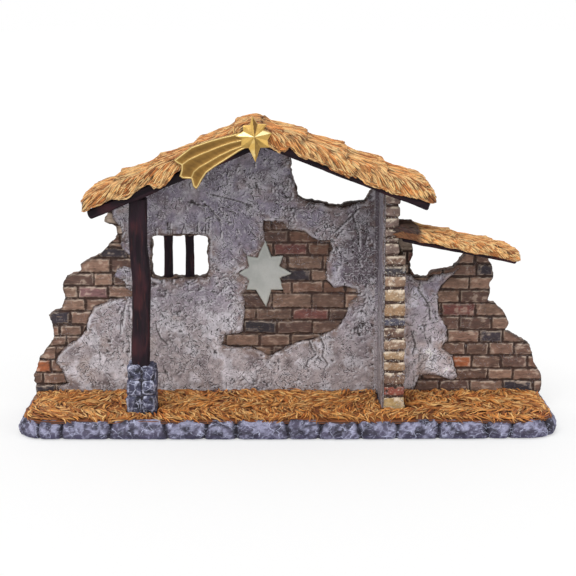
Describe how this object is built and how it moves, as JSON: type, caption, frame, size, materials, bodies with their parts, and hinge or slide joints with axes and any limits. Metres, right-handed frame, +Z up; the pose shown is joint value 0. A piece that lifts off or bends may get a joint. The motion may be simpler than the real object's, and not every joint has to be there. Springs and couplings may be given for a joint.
{
  "type": "nativity stable",
  "caption": "Free-standing ruined brick stable for crib figures, with a thatched roof on a wooden post, a lean-to, a barred window, a lit star window and a gilt comet.",
  "frame": {"origin": "middle of the foot pads' plane, under the middle of the base", "axes": "+X along the stable to the lean-to's end, +Y to the back, +Z up; the open front faces -Y"},
  "size_m": [0.3827, 0.12, 0.2248],
  "materials": {
    "painted_stone": "matt hand-painted casting, blue-grey with white dry brushing",
    "straw": "matt hand-painted casting, orange straw with a dark wash",
    "pad_foam": "matt",
    "brick": "matt hand-painted casting, tan, red and dark bricks",
    "plaster": "matt hand-painted casting, pitted grey plaster with a brown wash",
    "dark_wood": "matt hand-painted casting, dark brown grain",
    "thatch": "matt hand-painted casting, straw yellow over an orange-brown wash",
    "gilt": "satin gold paint on a casting",
    "frosted_lens": "frosted translucent plastic",
    "white_plastic": "fine moulded texture",
    "cell_jacket": "printed steel can with no lettering",
    "contact_steel": "nickel plated",
    "board_green": "solder resist",
    "led_resin": "clear cast resin",
    "black_plastic": "moulded",
    "screw_steel": "zinc plated"
  },
  "bodies": {
    "root": {"base_slab": "painted_stone", "straw_floor": "straw", "straw_strip_behind": "straw", "foot_pad_1": "pad_foam", "foot_pad_2": "pad_foam", "foot_pad_3": "pad_foam", "foot_pad_4": "pad_foam", "main_wall": "brick", "main_wall_plaster": "plaster", "lean_to_wall": "brick", "lean_to_wall_plaster": "plaster", "cross_wall": "brick", "cross_wall_plaster": "plaster", "window_bar_left": "dark_wood", "window_bar_right": "dark_wood", "wood_post": "dark_wood", "post_footing": "painted_stone", "front_rafter_left": "dark_wood", "front_rafter_right": "dark_wood", "roof_boards_left": "dark_wood", "roof_boards_right": "dark_wood", "thatch_left": "thatch", "thatch_right": "thatch", "lean_to_rafter": "dark_wood", "lean_to_boards": "dark_wood", "lean_to_thatch": "thatch", "comet": "gilt", "star_lens": "frosted_lens", "light_housing": "white_plastic", "cell_lower": "cell_jacket", "cell_upper": "cell_jacket", "contact_plate_lower": "contact_steel", "contact_plate_upper": "contact_steel", "contact_spring_lower": "contact_steel", "contact_spring_upper": "contact_steel", "led_board": "board_green", "led_left": "led_resin", "led_right": "led_resin", "switch_body": "black_plastic", "housing_screw_1": "screw_steel", "housing_screw_2": "screw_steel", "housing_screw_3": "screw_steel", "housing_screw_4": "screw_steel"},
    "battery_door": {"battery_door": "white_plastic"},
    "switch_slider": {"switch_slider": "black_plastic"}
  },
  "joints": [
    {"name": "battery_door_slide", "type": "slide", "parent": "root", "child": "battery_door", "axis": [1, 0, 0], "range_m": [0, 0.054]},
    {"name": "switch_slide", "type": "slide", "parent": "root", "child": "switch_slider", "axis": [1, 0, 0], "range_m": [0, 0.003]}
  ]
}
